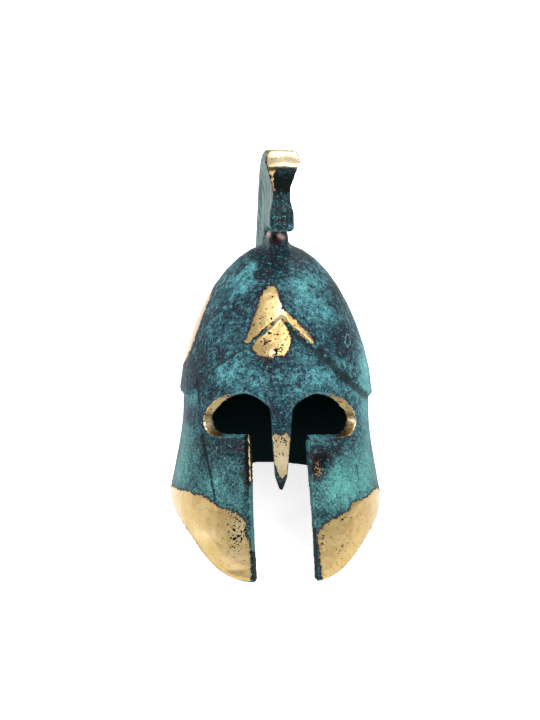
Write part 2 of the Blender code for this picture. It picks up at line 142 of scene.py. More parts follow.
# Single deep pits: place and radius in pixels
PIT_COLUMNS = ("across", "down", "radius")
DEEP_PITS = (
    (275.6, 158.0, 1.1),
    (276.0, 350.0, 1.8),
    (276.6, 353.0, 1.5),
    (271.4, 318.0, 1.2),
    (262.0, 330.0, 1.5),
    (259.7, 318.3, 0.9),
    (272.4, 296.0, 1.0),
    (276.5, 303.0, 1.0),
    (272.4, 307.2, 0.9),
    (266.5, 312.5, 0.7),
    (277.8, 334.5, 1.3),
    (234.4, 539.0, 1.7),
    (236.6, 540.5, 1.2),
    (227.4, 524.0, 1.3),
    (246.0, 534.0, 1.6),
    (247.6, 522.5, 1.3),
    (245.0, 530.0, 1.5),
    (231.6, 515.5, 1.0),
    (237.0, 519.0, 1.1),
    (240.5, 526.0, 1.0),
    (229.0, 533.0, 1.0),
)

# Soft spots of different kinds: place and radius in pixels, and amount. Here painted
# highlights: polished metal painted brighter, and made a little smoother too
SPOT_COLUMNS = ("across", "down", "wide", "tall", "amount")
PAINTED_HIGHLIGHTS = (
    (280.2, 304, 3.4, 11, 1.0),
    (291, 164.5, 13, 3, 0.9),
    (284, 158, 17, 8, 0.7),
    (281, 458, 10, 22, 0.60),
    (240, 528, 11, 13, 0.22),
    (209, 425, 4, 6, 0.8),
    (353, 421, 4, 6, 0.45),
    (205, 535, 14, 6, 0.2),
    (236, 556, 14, 10, 0.15),
    (272, 353, 2.5, 4, 0.8),
)

# Polished metal stained brown
STAINED = (
    (271, 341, 17, 14, 0.75),
    (302, 331, 14, 12, 0.70),
    (262, 318, 10, 22, 0.20),
    (200, 520, 20, 16, 0.20),
    (370, 514, 10, 22, 0.60),
    (350, 540, 14, 22, 0.15),
    (236, 560, 18, 12, 0.35),
    (199, 325, 10, 44, 0.60),
    (274, 190, 4, 17, 0.80),
)

# Metal or patina turned black, and painted shade on the neck under the crest's front
BLACKENED_AND_SHADED = (
    (317, 464, 8, 12, 1.0),
    (326, 457, 9, 8, 0.8),
    (336, 447, 6, 5, 0.5),
    (240, 444, 9, 7, 0.35),
    (249.5, 524, 2.8, 14, 1.15),
    (251.5, 558, 2.2, 16, 1.10),
    # Painted shade on the neck under the crest's front
    (274.6, 237.5, 3.8, 5, 1.4),
    (249, 506, 3, 8, 0.55),
)

# Patina rubbed down to copper
RUBBED = (
    (268.4, 234.0, 1.9, 2.6, 1.0),
    (279.6, 235.4, 2.4, 2.0, 0.9),
    (282.6, 237.6, 2.4, 2.0, 0.9),
)

# Patina with more flecks of bare metal
FLECKED = (
    (317, 466, 5, 11, 1.0),
    (322, 474, 8, 4, 0.7),
    (223, 398, 11, 3.5, 1.0),
    (328, 396, 16, 4, 1.0),
    (271, 359, 6, 3, 1.0),
    (285, 313, 4, 4, 0.8),
    (246, 530, 5, 12, 0.6),
)

# Polished metal with more pits
PITTED = (
    (241, 524, 11, 12, 1.30),
    (235, 541, 12, 8, 0.90),
    (232, 554, 15, 10, 0.45),
    (322, 538, 5, 10, 0.85),
    (343, 519, 12, 5, 0.60),
    (342, 545, 14, 16, 0.40),
    (277, 351, 4, 4, 1.10),
    (272, 348, 18, 12, 0.70),
    (264, 322, 18, 24, 0.55),
    (298, 330, 20, 12, 0.45),
    (281, 440, 12, 7, 0.95),
    (281, 458, 10, 14, 0.40),
    (318, 466, 6, 10, 0.30),
)

# Patina on the face that is as mottled as the bowl's
LIVELY = (
    (320, 462, 16, 18, 1.0),
    (242, 450, 12, 20, 0.5),
)

# Rows where the slit's cut faces are green and not black
LEFT_SLIT_GREEN = (483.0, 551.0)
RIGHT_SLIT_GREEN = (440.0, 527.0)

# Where the blue-green shows more (above 0) or the dark ground does (below 0): place and
# radius in pixels, and amount; with painted shade on the neck and a painted sheen on the right
# edge
COVER_AND_PAINTED_LIGHT = (
    (268, 262, 16, 16, -0.85),
    (298, 254, 20, 9, -0.75),
    (262, 247, 9, 5, 0.35),
    (252, 265, 7, 6, 1.10),
    (241, 280, 12, 11, 0.75),
    (232, 290, 8, 8, 0.35),
    (270, 276, 12, 8, -0.30),
    (300, 283, 16, 12, 0.50),
    (308, 300, 20, 16, 0.62),
    (328, 316, 12, 12, 0.60),
    (318, 262, 12, 8, 0.25),
    (285, 300, 7, 16, -0.35),
    (262, 300, 16, 16, -0.30),
    (346, 340, 9, 14, -0.85),
    (338, 292, 10, 24, -0.30),
    # Painted sheen along the bowl's right edge
    (366, 365, 9, 34, 1.00),
    (214, 312, 20, 20, 0.05),
    (225, 340, 16, 12, 0.10),
    (236, 318, 12, 22, -0.35),
    (200, 345, 14, 14, -0.20),
    (195, 375, 18, 18, -0.75),
    (310, 335, 20, 12, -0.10),
    (228, 376, 22, 12, 0.70),
    (262, 385, 26, 12, 0.15),
    (298, 372, 20, 10, 0.05),
    (322, 378, 22, 12, 0.68),
    (272, 362, 18, 8, -0.55),
    (345, 376, 18, 9, -0.40),
    (352, 392, 16, 8, 0.30),
    (281, 405, 9, 22, -0.20),
    (281, 428, 9, 9, -0.30),
    (281, 486, 8, 8, -1.30),
    # Painted shade on the neck under the crest's front
    (275, 238, 9, 8, -1.70),
    (215, 392, 14, 5, -0.55),
    (193, 397, 7, 12, 0.55),
    (190, 416, 7, 12, -0.60),
    (183, 440, 12, 40, 0.55),
    (176, 475, 12, 14, 0.45),
    (204, 440, 6, 30, -0.20),
    (214, 488, 12, 16, 0.42),
    (228, 475, 14, 22, 0.05),
    (246.5, 462, 3.2, 34, -1.10),
    (238, 446, 9, 11, -0.45),
    (226, 446, 26, 8, -0.40),
    (240, 500, 10, 20, 0.20),
    (322, 446, 26, 7, 0.15),
    (317, 463, 8, 13, -1.50),
    (326, 456, 8, 8, -1.10),
    (337, 448, 7, 6, -0.70),
    (316, 475, 6, 7, -0.80),
    (321, 442, 10, 4, 0.45),
    (346, 482, 20, 26, 0.95),
    (326, 500, 14, 24, 0.35),
    (330, 512, 18, 8, -0.25),
    (370, 460, 12, 40, 0.60),
    (372, 410, 12, 26, 0.55),
    (335, 436, 18, 8, -0.55),
)
BASE_COVER = 0.10

# Distances in millimetres: the largest that is stored, and two that nothing reaches
FAR = 6.0
NOWHERE = 9.0
NOT_BARE = -9.0

# In what follows, places across, along and up are millimetres in the helmet's upright frame,
# along is less than 0 at the face, and a pair of numbers is where a fade starts and ends.

# How the skin faces: 1 outwards, -1 into the hollow
DOME_MIDDLE = 45.0
SIDE_WEIGHT = 1.5
OUTER_SKIN = 0.55
HOLLOW_SKIN = -0.2
OUTER_FADE = (0.45, 0.75)
HIDDEN_FADE = (0.1, -0.25)
CUT_FACE = 0.66
CUT_FACE_INSIDE = -0.6
ENOUGH = 0.3

# How the skin faces the camera: 1 towards it, -1 away from it
FACES_AWAY = -0.1
SEEN_FADE = (-0.1, 0.2)

# Where things are on the shell
FRONT_FADE = (4.0, -4.0)
FACE_FRONT = -20.0
OPENINGS_FRONT = -10.0
NOSE_SIDE = 4.5
SLIT_SIDE = 11.0
SLIT_TOP = 36.0
SIDEWAYS = 0.4
CROWN_HEIGHT = 72.0
NECK_HEIGHT = 76.0
GREENER_FADE = (37.0, 31.0)
CALM_FADE = (52.0, 34.0)

# Casting: rounds of softening, and the sizes and depths of grain and swell
WELD_GAP = 0.002 * MM
SOFTEN_STEP = 0.5
SWELL_BACK_STEP = -0.52
SHELL_SOFTENING = 5
CREST_SOFTENING = 8
SHELL_GRAIN_SIZE = 1.3 * MM
SHELL_GRAIN = 0.035
SWELL_SIZE = 9.0 * MM
SWELL_DEPTH = 0.10

# The fillet at the foot of the ridge on the crown
RELAX_STEP = 0.6
RIDGE_ROUNDS = 40
RIDGE_SIDE = 2.6
RIDGE_FILLET = 2.0
RIDGE_HEIGHTS = (72.0, 77.0)
RIDGE_START = (-16.0, -9.0)

# The creases, the groove of the brow's step, and the dark line drawn along both; below the step
# that line is a painted shadow
FAINT_SPREAD = 1.4
FAINT_SHIFT = 0.9
CREASE_WIDTH = 0.40
SEAM_WIDTH = 0.35
GROOVE_DEPTH = 0.14
LEFT_GROOVE = 0.20
RIGHT_GROOVE = 0.28
LEFT_STEP_THIN = 1.5
RIGHT_STEP_THIN = 0.60

# The flatter facets below the cheeks' ridges; reach and rows are in pixels
CHEEK_REACH = 140
CHEEK_ROWS = (470, 640)
CHEEK_START = (4.0, 8.0)
CHEEK_FACET = 4.0
CHEEK_SLOPE = 0.13

# The dips that leave a keel above the brow's peak
KEEL_ACROSS = 0.6
KEEL_RISE = (0.0, 2.2)
KEEL_FALL = (9.0, 3.0)
KEEL_FOOT = (57.0, 61.0)
KEEL_TOP = (76.0, 70.0)
KEEL_DEPTH = 0.22

# How far round the helmet the polished patches go, and how sharply they end
FRONT_PATCHES_END = 3.0
PATCH_SLOPE = 0.6
GROOVE_SLOPE = 1.2
RIM_UNDERSIDE = -0.3
TIP_HEIGHT = 20.0
TIP_SIDE = 9.5
SIDE_PATCH_MIDDLE = -2.0
SIDE_PATCH_HALF = 14.0
SIDE_PATCH_START = -12.0

# The polished faces at the eyes' outer corners: across and up, size, and their flaws
EYE_CORNER = (18.0, 41.0)
EYE_CORNER_SQUASH = 0.85
EYE_CORNER_RADIUS = 6.6
EYE_FACE_INSIDE = -0.35
EYE_SILL = 34.2
CORNER_PITS = 0.45
CORNER_STAIN = 0.9
CORNER_STAIN_FADE = (0.35, -0.15)
UPPER_RIM_REACH = -3.0
UPPER_RIM_PITS = 0.95
UPPER_RIM_FADE = (42.5, 45.0)

# Amounts of patina and of black
COVER_RANGE = (-1.0, 1.2)
CUT_FACE_COVER = 0.5
BLACK_AND_SHADE_SHARE = 0.62
BLACK_LINE_FADE = (0.85, 0.45)
GREEN_ROWS_FADE = (2.0, -2.0)

# The crest's front: its hollow, the lumpy block below that, and its polished tip
FORWARD_FADE = (0.25, 0.6)
CREST_FRONT_FADE = (-12.0, -16.0)
CREST_HOLLOW_HEIGHT = 94.8
CREST_HOLLOW_REACH = 4.2
CREST_HOLLOW_HALF = 2.4
CREST_HOLLOW_DEPTH = 0.75
CREST_BLOCK_HEIGHT = 87.0
CREST_BLOCK_REACH = 3.0
LUMP_SIZE = 1.6 * MM
LUMP_DEPTH = 0.22
CREST_PATCH_BACK = -15.0
CREST_PATCH_END = -16.0
CREST_PATCH_SLOPE = 0.8
CREST_HIGHLIGHT_BACK = -18.0

# The crest's flanks: waves and streaks round a middle, and the grain of the whole crest
FLANK_FADE = (0.5, 0.8)
WAVE_MIDDLE = 46.0
WAVE_SQUASH = 0.93
WAVE_SIZE = 1.5
WAVE_WANDER = 0.7
WAVE_WANDER_SIZE = 12.0 * MM
WAVE_DEPTH = 0.07
STREAK_SIZE = 0.9
STREAK_WANDER = 1.5
STREAK_WANDER_SIZE = 10.0 * MM
CREST_GRAIN_SIZE = 1.2 * MM
CREST_GRAIN = 0.05

# The crest's underside, swollen so that no light shows through the seam
SEAT_FADE = (0.45, 0.80)
SEAT_START = (-12.0, -9.0)
SEAM_FILL = 0.50

# How the crest is covered, and the painted shade in its front hollow
CREST_COVER = 0.20
FLANK_COVER = 0.45
STREAK_COVER = 0.18
HOLLOW_SHADE = 0.85
HOLLOW_SHADOW = 0.85
BLOCK_DARK = 0.60
FLANK_DULL = 0.75
CREST_PITS = 0.15


def upright(points):
    """World points in the helmet's own upright frame, in metres."""
    shifted = points - UPRIGHT_ORIGIN
    cosine, sine = math.cos(LEAN), math.sin(LEAN)
    turned = shifted.copy()
    turned[:, 1] = shifted[:, 1] * cosine - shifted[:, 2] * sine
    turned[:, 2] = shifted[:, 1] * sine + shifted[:, 2] * cosine
    return turned


def camera_rotation():
    """The camera's turn: down, to the side and about its own axis."""
    return (Matrix.Rotation(-LOOK_RIGHT, 3, "Z") @ Matrix.Rotation(math.pi / 2 - LOOK_DOWN, 3, "X")
            @ Matrix.Rotation(ROLL, 3, "Z"))


def photo_pixels(points):
    """Where world points fall in the photograph, in its pixels."""
    local = (points - np.array(EYE)) @ np.array(camera_rotation())
    across = PHOTO_WIDTH / 2 + FOCAL_PIXELS * local[:, 0] / -local[:, 2]
    down = PHOTO_HEIGHT / 2 - FOCAL_PIXELS * local[:, 1] / -local[:, 2]
    return np.column_stack((across, down))


def photo_scale(points):
    """Millimetres to a pixel at each point."""
    local = (points - np.array(EYE)) @ np.array(camera_rotation())
    return -local[:, 2] / FOCAL_PIXELS / MM


def line_distance(pixels, line):
    """Distance in pixels from each point to a line of straight stretches."""
    nearest = np.full(len(pixels), 1e9)
    for start, end in zip(line, line[1:]):
        start = np.array(start, float)
        along = np.array(end, float) - start
        share = np.clip((pixels - start) @ along / (along @ along), 0.0, 1.0)
        gap = pixels - start - share[:, None] * along
        nearest = np.minimum(nearest, np.hypot(gap[:, 0], gap[:, 1]))
    return nearest


def inside_distance(pixels, outline):
    """Distance in pixels to an outline, positive inside it."""
    closed = tuple(outline) + (outline[0],)
    inside = np.zeros(len(pixels), bool)
    for (x1, y1), (x2, y2) in zip(closed, closed[1:]):
        if y1 == y2:
            continue
        crosses = (y1 > pixels[:, 1]) != (y2 > pixels[:, 1])
        at = x1 + (pixels[:, 1] - y1) * (x2 - x1) / (y2 - y1)
        inside ^= crosses & (pixels[:, 0] < at)
    distance = line_distance(pixels, closed)
    return np.where(inside, distance, -distance)


def spots(pixels, table):
    """The sum of a table's soft spots at each point."""
    total = np.zeros(len(pixels))
    for row in table:
        spot = dict(zip(SPOT_COLUMNS, row))
        away = (((pixels[:, 0] - spot["across"]) / spot["wide"]) ** 2
                + ((pixels[:, 1] - spot["down"]) / spot["tall"]) ** 2)
        total += spot["amount"] * np.exp(-away)
    return total


def outside_pits(pixels):
    """Distance in pixels to the nearest deep pit's rim, negative inside it."""
    nearest = np.full(len(pixels), 1e9)
    for row in DEEP_PITS:
        pit = dict(zip(PIT_COLUMNS, row))
        away = np.hypot(pixels[:, 0] - pit["across"], pixels[:, 1] - pit["down"])
        nearest = np.minimum(nearest, away - pit["radius"])
    return nearest


def smooth_step(low, high, values):
    """0 below low, 1 above high, and a smooth way between."""
    share = np.clip((values - low) / (high - low), 0.0, 1.0)
    return share * share * (3.0 - 2.0 * share)


def noise_at(points, size, seed):
    """Smooth noise of about -1 to 1 with features of a size, in metres."""
    offset = Vector((seed * 17.3, seed * 5.1, seed * 9.7))
    values = np.empty(len(points))
    for index, point in enumerate(points):
        values[index] = noise.noise(Vector(point) / size + offset)
    return values


def coordinates(mesh):
    """A mesh's vertices as an array."""
    flat = np.empty(len(mesh.vertices) * 3)
    mesh.vertices.foreach_get("co", flat)
    return flat.reshape(-1, 3)


def normals(mesh):
    """A mesh's vertex normals as an array."""
    flat = np.empty(len(mesh.vertices) * 3)
    mesh.vertex_normals.foreach_get("vector", flat)
    return flat.reshape(-1, 3)


def move_vertices(mesh, points):
    """Put a mesh's vertices at new places."""
    mesh.vertices.foreach_set("co", points.ravel())
    mesh.update()


def store(mesh, name, values):
    """Keep one number for each vertex under a name that the material reads."""
    layer = mesh.attributes.new(name, "FLOAT", "POINT")
    layer.data.foreach_set("value", np.asarray(values, float))


def store_share(mesh, name, values):
    """Keep a share from 0 to 1 for each vertex."""
    store(mesh, name, np.clip(values, 0.0, 1.0))


def store_distance(mesh, name, values):
    """Keep a distance in millimetres for each vertex, not below 0."""
    store(mesh, name, np.clip(values, 0.0, FAR))


def store_signed(mesh, name, values):
    """Keep a distance in millimetres for each vertex, positive or negative."""
    store(mesh, name, np.clip(values, -FAR, FAR))


def fine_copy(node, name, voxel, softening):
    """A closed, finely meshed copy of a CAD node, its edges softened and not shrunk."""
    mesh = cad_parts[node].data.copy()
    work = bmesh.new()
    work.from_mesh(mesh)
    bmesh.ops.remove_doubles(work, verts=work.verts, dist=WELD_GAP)
    work.to_mesh(mesh)
    work.free()
    mesh.materials.clear()
    piece = bpy.data.objects.new(name, mesh)
    bpy.context.scene.collection.objects.link(piece)
    remesh = piece.modifiers.new("Remesh", "REMESH")
    remesh.mode = "VOXEL"
    remesh.voxel_size = voxel
    for label, factor in (("Soften", SOFTEN_STEP), ("Swell_back", SWELL_BACK_STEP)):
        smooth = piece.modifiers.new(label, "SMOOTH")
        smooth.factor = factor
        smooth.iterations = softening
    graph = bpy.context.evaluated_depsgraph_get()
    piece.data = bpy.data.meshes.new_from_object(piece.evaluated_get(graph))
    piece.modifiers.clear()
    piece.data.name = name
    for attribute in [a.name for a in piece.data.attributes if not a.is_required]:
        if attribute in piece.data.attributes and not attribute.startswith("."):
            piece.data.attributes.remove(piece.data.attributes[attribute])
    return piece


def keep_in_box(points):
    """Points kept inside the CAD model's box, and so on the table."""
    return np.clip(points, np.array(cad_low), np.array(cad_high))


def outward(local, turned_normals):
    """How far each normal points away from the hollow: 1 outside, -1 inside."""
    away = local.copy()
    away[:, 2] -= np.minimum(local[:, 2], DOME_MIDDLE)
    away[:, 0] *= SIDE_WEIGHT
    away /= np.linalg.norm(away, axis=1)[:, None] + 1e-12
    return (away * turned_normals).sum(axis=1)


class Survey:
    """Where a mesh's vertices are, in the world, in the helmet's frame and in the photograph."""

    def __init__(self, mesh):
        self.points = coordinates(mesh)
        self.facing_out = normals(mesh)
        self.pixels = photo_pixels(self.points)
        self.scale = photo_scale(self.points)
        to_eye = np.array(EYE) - self.points
        to_eye /= np.linalg.norm(to_eye, axis=1)[:, None]
        self.seen = (self.facing_out * to_eye).sum(axis=1)
        local = upright(self.points) / MM
        self.across = local[:, 0]
        self.along = local[:, 1]
        self.up = local[:, 2]
        self.turned = upright(self.facing_out + UPRIGHT_ORIGIN)
        self.skin = outward(local, self.turned)
        self.outer = smooth_step(*OUTER_FADE, self.skin)
        self.front = smooth_step(*FRONT_FADE, self.along)
        self.on_front = self.outer * self.front > ENOUGH
        self.on_face = self.along < FACE_FRONT

    def full(self, value):
        """The same number at every vertex."""
        return np.full(len(self.points), value)

    def move_in(self, mesh, depth):
        """Put the mesh's vertices a depth in millimetres inwards of where they were."""
        moved = self.points - self.facing_out * depth[:, None] * MM
        move_vertices(mesh, keep_in_box(moved))


def thin_out(piece, chosen, share):
    """Merge faces at the chosen vertices until a share of all the piece's faces is left."""
    group = piece.vertex_groups.new(name="thin_out")
    group.add(np.flatnonzero(chosen).tolist(), 1.0, "REPLACE")
    decimate = piece.modifiers.new("Thin_out", "DECIMATE")
    decimate.ratio = share
    decimate.vertex_group = group.name
    graph = bpy.context.evaluated_depsgraph_get()
    name = piece.data.name
    piece.data = bpy.data.meshes.new_from_object(piece.evaluated_get(graph))
    piece.data.name = name
    piece.modifiers.clear()
    piece.vertex_groups.clear()


def relax(mesh, weights, rounds):
    """Smooth a mesh where its vertices' weights say, for fillets that castings have."""
    points = coordinates(mesh)
    edges = np.empty(len(mesh.edges) * 2, int)
    mesh.edges.foreach_get("vertices", edges)
    edges = edges.reshape(-1, 2)
    count = np.bincount(edges.ravel(), minlength=len(points))[:, None]
    for _ in range(rounds):
        total = np.zeros_like(points)
        np.add.at(total, edges[:, 0], points[edges[:, 1]])
        np.add.at(total, edges[:, 1], points[edges[:, 0]])
        points += RELAX_STEP * weights[:, None] * (total / count - points)
    move_vertices(mesh, points)


def fillet_ridge(mesh):
    """Round the foot of the ridge where it rises from the crown."""
    local = upright(coordinates(mesh)) / MM
    beside = np.exp(-((np.abs(local[:, 0]) - RIDGE_SIDE) / RIDGE_FILLET) ** 2)
    crown = smooth_step(*RIDGE_HEIGHTS, local[:, 2]) * smooth_step(*RIDGE_START, local[:, 1])
    relax(mesh, np.clip(beside * crown, 0.0, 1.0), RIDGE_ROUNDS)


def crease_distance(at):
    """Distance in millimetres to the nearest crease; the faint one stands further off."""
    nearest = line_distance(at.pixels, FAINT_CREASE) * FAINT_SPREAD + FAINT_SHIFT
    for line in CREASES:
        nearest = np.minimum(nearest, line_distance(at.pixels, line))
    return np.where(at.on_front, nearest * at.scale, NOWHERE)


def brow_distance(at, line):
    """Distance in millimetres to one arm of the brow's step."""
    return np.where(at.on_front, line_distance(at.pixels, line) * at.scale, NOWHERE)


def below_cheek_ridges(at):
    """How far below its cheek's soft ridge a point is, in millimetres, up to a limit."""
    beyond = at.full(0.0)
    for ridge_line, side in zip(CHEEK_RIDGES, (-1.0, 1.0)):
        outside = PHOTO_WIDTH / 2 + side * CHEEK_REACH
        region = ridge_line + ((outside, CHEEK_ROWS[1]), (outside, CHEEK_ROWS[0]))
        below = inside_distance(at.pixels, region) * at.scale
        past = np.clip(below, 0.0, CHEEK_FACET) * at.on_front
        beyond = np.maximum(beyond, past * smooth_step(*CHEEK_START, at.across * side))
    return beyond


def beside_keel(at):
    """1 in the shallow dips on both sides of the bowl's keel, above the brow's peak."""
    away = np.abs(at.across - KEEL_ACROSS)
    dips = smooth_step(*KEEL_RISE, away) * smooth_step(*KEEL_FALL, away)
    return dips * smooth_step(*KEEL_FOOT, at.up) * smooth_step(*KEEL_TOP, at.up) * at.front


def carve_shell(mesh, at, crease, left_arm):
    """Press in the creases and facets, and give the cast skin its swell and grain."""
    grooved = np.exp(-(crease / CREASE_WIDTH) ** 2) + np.exp(-(left_arm / SEAM_WIDTH) ** 2)
    swell = (noise_at(at.points, SWELL_SIZE, 1) + 1.0) / 2
    grain = noise_at(at.points, SHELL_GRAIN_SIZE, 2) + 1.0
    depth = GROOVE_DEPTH * grooved + SWELL_DEPTH * swell + SHELL_GRAIN * at.outer * grain
    depth += CHEEK_SLOPE * below_cheek_ridges(at) + KEEL_DEPTH * beside_keel(at) * at.outer
    at.move_in(mesh, depth)


def polished_patches(at, groove):
    """Distance in millimetres inside the polished patches, negative outside them."""
    bare = at.full(NOT_BARE)
    for outline in (LEFT_CHEEK_PATCH, RIGHT_CHEEK_PATCH, BROW_PATCH, BROW_LOBE, NOSE_PATCH):
        bare = np.maximum(bare, inside_distance(at.pixels, outline) * at.scale)
    bare = np.minimum(bare, (FRONT_PATCHES_END - at.along) * PATCH_SLOPE)
    # The brow's groove stays unpolished, so its dark border is painted shade below the step
    bare = np.minimum(bare, groove * GROOVE_SLOPE)
    tip_rim = (at.skin > RIM_UNDERSIDE) & (at.up < TIP_HEIGHT) & (np.abs(at.across) > TIP_SIDE)
    bare = np.where((at.skin > OUTER_SKIN) | tip_rim, bare, NOT_BARE)
    side = inside_distance(at.pixels, BOWL_SIDE_PATCH) * at.scale
    side_end = SIDE_PATCH_HALF - np.abs(at.along - SIDE_PATCH_MIDDLE)
    side = np.minimum(side, side_end * PATCH_SLOPE)
    on_side = (at.skin > OUTER_SKIN) & (at.across < SIDE_PATCH_START)
    return np.maximum(bare, np.where(on_side, side, NOT_BARE))


def eye_corners(at):
    """Distance in millimetres inside the polished cut faces at the eyes' outer corners."""
    away = np.hypot(np.abs(at.across) - EYE_CORNER[0], (at.up - EYE_CORNER[1]) * EYE_CORNER_SQUASH)
    cut_face = (at.skin < CUT_FACE) & (at.skin > EYE_FACE_INSIDE) & (at.along < OPENINGS_FRONT)
    return np.where(cut_face & (at.up > EYE_SILL), EYE_CORNER_RADIUS - away, NOT_BARE)


def slit_blackness(at):
    """1 on the slit's cut faces, but for the rows of them that the photograph shows green."""
    beside = np.abs(at.across)
    faces = (at.skin < CUT_FACE) & (at.skin > CUT_FACE_INSIDE) & (beside < SLIT_SIDE)
    faces &= (at.up < SLIT_TOP) & (at.along < OPENINGS_FRONT) & (beside > NOSE_SIDE)
    faces &= np.abs(at.turned[:, 0]) > SIDEWAYS
    left = at.across < 0.0
    green_start = np.where(left, LEFT_SLIT_GREEN[0], RIGHT_SLIT_GREEN[0])
    green_end = np.where(left, LEFT_SLIT_GREEN[1], RIGHT_SLIT_GREEN[1])
    in_green = np.minimum(at.pixels[:, 1] - green_start, green_end - at.pixels[:, 1])
    return np.where(faces, smooth_step(*GREEN_ROWS_FADE, in_green), 0.0)


def dark_edges(at):
    """How black the metal is along its edges and in its blackened spots, from 0 to 1, with painted
    shade on the neck under the crest's front.
    """
    line = line_distance(at.pixels, BLACK_LINE) * at.scale
    rim = np.maximum(slit_blackness(at), smooth_step(*BLACK_LINE_FADE, line) * at.on_face)
    face_or_crown = at.on_face | (at.up > CROWN_HEIGHT)
    return np.maximum(rim, BLACK_AND_SHADE_SHARE * spots(at.pixels, BLACKENED_AND_SHADED) * face_or_crown)


def ring_distance(at):
    """Distance in millimetres to the oval ring mark on the bowl."""
    wide, tall = RING_RADII
    reach = np.hypot((at.pixels[:, 0] - RING_CENTRE[0]) / wide,
                     (at.pixels[:, 1] - RING_CENTRE[1]) / tall)
    return np.where(at.outer > ENOUGH, np.abs(reach - 1.0) * wide * at.scale, FAR)


def patina_cover_and_painted_light(at):
    """How much of the blue-green covers the shell, with painted shade on the neck under the crest
    and a painted sheen along the bowl's right edge.
    """
    cover_and_painted_light = BASE_COVER + spots(at.pixels, COVER_AND_PAINTED_LIGHT) * smooth_step(*SEEN_FADE, at.seen)
    cut_face = (at.skin < CUT_FACE) & (at.skin > CUT_FACE_INSIDE)
    return cover_and_painted_light + CUT_FACE_COVER * (cut_face & (np.abs(at.across) > NOSE_SIDE))


def helmet_shell():
    """The bowl with its face, cheeks and neck guard."""
    piece = fine_copy("helmet_shell", "helmet_shell_cast", SHELL_VOXEL, SHELL_SOFTENING)
    whole = Survey(piece.data)
    thin_out(piece, (whole.seen < FACES_AWAY) | (whole.skin < HOLLOW_SKIN), SHELL_SHARE)
    mesh = piece.data
    fillet_ridge(mesh)
    at = Survey(mesh)
    crease = crease_distance(at)
    left_arm = brow_distance(at, LEFT_BROW_LINE)
    right_arm = brow_distance(at, RIGHT_BROW_LINE)
    carve_shell(mesh, at, crease, left_arm)
    # The groove below the brow's step is kept dark: painted shade
    store_shell_metal(mesh, at, np.minimum(left_arm - LEFT_GROOVE, right_arm - RIGHT_GROOVE))
    store_shell_patina(mesh, at)
    store_distance(mesh, "crease", crease)
    # The painted shadow below the brow's step, wider along the right arm
    step_shadow = np.minimum(left_arm * LEFT_STEP_THIN, right_arm * RIGHT_STEP_THIN)
    store_distance(mesh, "step_shadow", step_shadow)
    return finish_piece(piece, "helmet_shell")


def store_shell_metal(mesh, at, groove):
    """Where the shell is polished bare, and how the bare metal looks."""
    corner = eye_corners(at)
    store_signed(mesh, "bare", np.maximum(polished_patches(at, groove), corner))
    # Painted highlights on the polished metal, where it faces the camera
    store_share(mesh, "painted_highlight", spots(at.pixels, PAINTED_HIGHLIGHTS) * (at.seen > 0.0))
    upper_rim = (corner > UPPER_RIM_REACH) * smooth_step(*UPPER_RIM_FADE, at.up)
    pitted = spots(at.pixels, PITTED) + UPPER_RIM_PITS * upper_rim + CORNER_PITS * (corner > 0.0)
    store_share(mesh, "pitted", pitted)
    inner = CORNER_STAIN * (corner > 0.0) * smooth_step(*CORNER_STAIN_FADE, at.skin)
    store_share(mesh, "stained", (spots(at.pixels, STAINED) + inner) * (at.seen > 0.0))
    pit = outside_pits(at.pixels) * at.scale
    store_signed(mesh, "deep_pit", np.where(at.seen > 0.0, pit, FAR))


def store_shell_patina(mesh, at):
    """How the shell's patina and its dark edges look."""
    store(mesh, "cover_and_painted_light", np.clip(patina_cover_and_painted_light(at), *COVER_RANGE))
    store(mesh, "hidden", smooth_step(*HIDDEN_FADE, at.skin))
    store(mesh, "rim", dark_edges(at))
    store(mesh, "greener", smooth_step(*GREENER_FADE, at.up))
    store(mesh, "dull", at.full(0.0))
    store_share(mesh, "rubbed", spots(at.pixels, RUBBED) * (at.up > NECK_HEIGHT))
    store_share(mesh, "flecked", spots(at.pixels, FLECKED) * (at.seen > 0.0))
    store_share(mesh, "calm", smooth_step(*CALM_FADE, at.up) - spots(at.pixels, LIVELY))
    store_distance(mesh, "ring", ring_distance(at))
    glint = line_distance(at.pixels, GLINT_LINE) * at.scale
    store_distance(mesh, "glint", np.where((at.across < -NOSE_SIDE) & at.on_face, glint, FAR))


def carve_crest(mesh, at, hollow, block, flank, rise):
    """Hollow the crest's front, roughen it, and swell its underside to close the seam."""
    middle = np.clip(1.0 - (np.abs(at.across) / CREST_HOLLOW_HALF) ** 2, 0.0, 1.0)
    lumps = noise_at(at.points, LUMP_SIZE, 5) + 1.0
    wander = WAVE_WANDER * noise_at(at.points, WAVE_WANDER_SIZE, 6)
    waves = np.sin(rise / WAVE_SIZE + wander) + 1.0
    grain = noise_at(at.points, CREST_GRAIN_SIZE, 7) + 1.0
    depth = CREST_HOLLOW_DEPTH * middle * hollow + LUMP_DEPTH * block * lumps
    depth += WAVE_DEPTH * flank * waves + CREST_GRAIN * grain
    height = at.up - WAVE_MIDDLE
    to_middle = -(at.turned[:, 1] * at.along + at.turned[:, 2] * height)
    seat = smooth_step(*SEAT_FADE, to_middle / np.hypot(at.along, height))
    depth -= SEAM_FILL * seat * smooth_step(*SEAT_START, at.along)
    at.move_in(mesh, depth)


